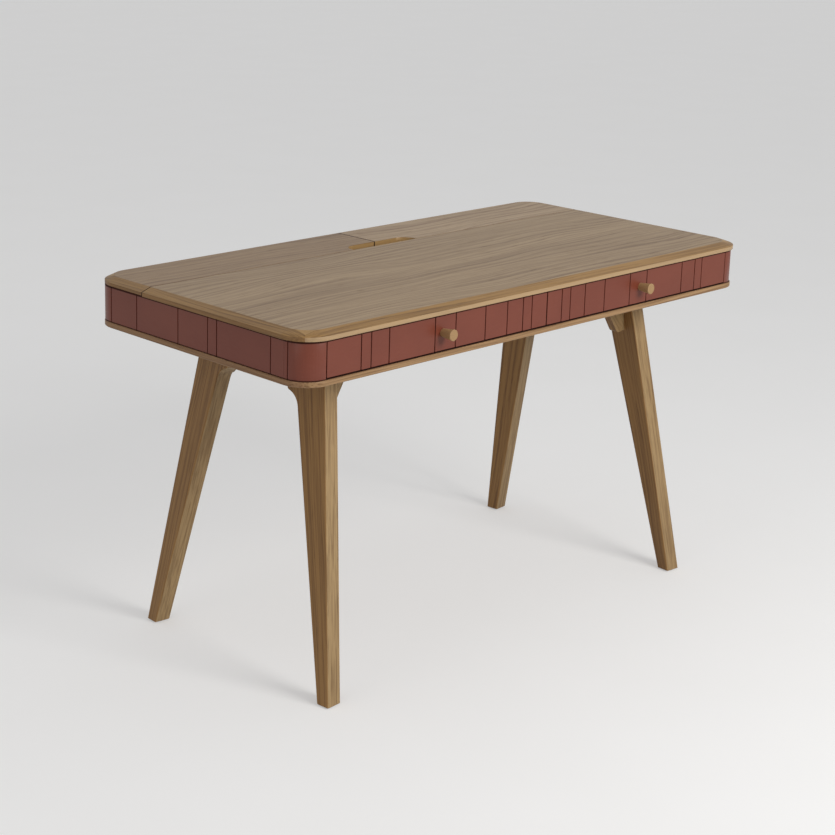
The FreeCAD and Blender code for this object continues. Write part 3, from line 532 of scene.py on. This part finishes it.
arrises = {
    0.0004: ["left_side_panel", "right_side_panel", "back_panel"],
    0.0005: ["desk_top", "left_flap", "right_flap", "left_drawer_front", "right_drawer_front"],
    0.0006: ["bottom_panel", "front_left_post", "front_right_post", "rear_left_post", "rear_right_post"],
    0.0012: ["front_left_corbel", "front_right_corbel", "rear_left_corbel", "rear_right_corbel"],
}
weld_reach = 0.00001
for width, names in arrises.items():
    for name in names:
        weld = nodes[name].modifiers.new("joined", "WELD")
        weld.merge_threshold = weld_reach
        soft = nodes[name].modifiers.new("arris", "BEVEL")
        soft.width = width
        soft.segments = 2
        soft.limit_method = "ANGLE"
        soft.angle_limit = math.radians(25)
        soft.harden_normals = True

# Floor, light and camera

floor_reach = 60.0
floor_glow = (0.33, 0.33, 0.332, 1)
lighting_strength = 0.45
backdrop_strength = 0.88

floor_mesh = bpy.data.meshes.new("floor")
floor_corners = [(floor_reach * x, floor_reach * y, 0) for x, y in ((-1, -1), (1, -1), (1, 1), (-1, 1))]
floor_mesh.from_pydata(floor_corners, [], [(0, 1, 2, 3)])
floor = bpy.data.objects.new("floor", floor_mesh)
bpy.context.scene.collection.objects.link(floor)
floor_shader = Shader("floor")
floor_grain = floor_shader.noise(floor_shader.place, scale=3, detail=3)
floor_ray = floor_shader.node("ShaderNodeLightPath", {}, {}).outputs
seen_floor = Value(floor_shader, floor_ray["Is Camera Ray"]).larger(floor_ray["Is Glossy Ray"])
floor_mesh.materials.append(floor_shader.finish(
    Base_Color=floor_shader.mix(floor_grain, srgb(207, 207, 207), srgb(203, 203, 202)),
    Roughness=0.9,
    Specular_IOR_Level=0.1,
    Emission_Color=floor_shader.mix(seen_floor, (0, 0, 0, 1), floor_glow),
    Emission_Strength=1.0,
))

world = bpy.data.worlds.new("studio")
bpy.context.scene.world = world
world.use_nodes = True
world_nodes = world.node_tree.nodes
world_links = world.node_tree.links
lighting = world_nodes["Background"]
lighting.inputs["Color"].default_value = (1.0, 0.995, 0.99, 1.0)
lighting.inputs["Strength"].default_value = lighting_strength
backdrop = world_nodes.new("ShaderNodeBackground")
backdrop.inputs["Strength"].default_value = backdrop_strength
ray = world_nodes.new("ShaderNodeLightPath")
seen = world_nodes.new("ShaderNodeMath")
seen.operation = "MAXIMUM"
choice = world_nodes.new("ShaderNodeMixShader")
world_links.new(ray.outputs["Is Camera Ray"], seen.inputs[0])
world_links.new(ray.outputs["Is Glossy Ray"], seen.inputs[1])
world_links.new(seen.outputs[0], choice.inputs[0])
world_links.new(lighting.outputs[0], choice.inputs[1])
world_links.new(backdrop.outputs[0], choice.inputs[2])
world_links.new(choice.outputs[0], world_nodes["World Output"].inputs[0])


def area_light(name, place, target, size, power, colour):
    """Round light, aimed from one place at another; sizes in metres, power in watts."""
    light = bpy.data.lights.new(name, "AREA")
    light.shape = "DISK"
    light.size = size
    light.energy = power
    light.color = colour
    lamp = bpy.data.objects.new(name, light)
    lamp.location = place
    lamp.rotation_euler = (Vector(target) - Vector(place)).to_track_quat("-Z", "Y").to_euler()
    bpy.context.scene.collection.objects.link(lamp)


area_light(
    "key", place=(0.3, -3.0, 2.2), target=(0.1, 0, 0.6),
    size=1.6, power=66, colour=(1.0, 0.985, 0.96),
)
area_light(
    "fill", place=(-5.0, -0.6, 1.8), target=(0, 0, 0.5),
    size=3.0, power=20, colour=(1.0, 0.99, 0.98),
)

# Camera: lens and middle in pixels of the photograph, turn, tilt and roll, and place in metres

lens_px, middle_u, middle_v, picture = 1853.68, 323.46, 306.44, 835
yaw, pitch, roll = math.radians(43.0032), math.radians(14.0284), math.radians(1.0454)
camera_place = Vector((-2.73117, -2.57998, 1.57633))
film_width = 36
forward = Vector((math.sin(yaw) * math.cos(pitch), math.cos(yaw) * math.cos(pitch), -math.sin(pitch)))
right = Vector((math.cos(yaw), -math.sin(yaw), 0))
above = right.cross(forward)
across = right * math.cos(roll) + above * math.sin(roll)
upward = above * math.cos(roll) - right * math.sin(roll)
camera_data = bpy.data.cameras.new("camera")
camera_data.sensor_width = film_width
camera_data.lens = film_width * lens_px / picture
camera_data.shift_x = (picture / 2 - middle_u) / picture
camera_data.shift_y = (middle_v - picture / 2) / picture
camera_data.clip_end = 200
camera = bpy.data.objects.new("camera", camera_data)
camera.matrix_world = Matrix((
    (across.x, upward.x, -forward.x, camera_place.x),
    (across.y, upward.y, -forward.y, camera_place.y),
    (across.z, upward.z, -forward.z, camera_place.z),
    (0, 0, 0, 1),
))
bpy.context.scene.collection.objects.link(camera)
bpy.context.scene.camera = camera
bpy.context.scene.view_settings.view_transform = "Standard"
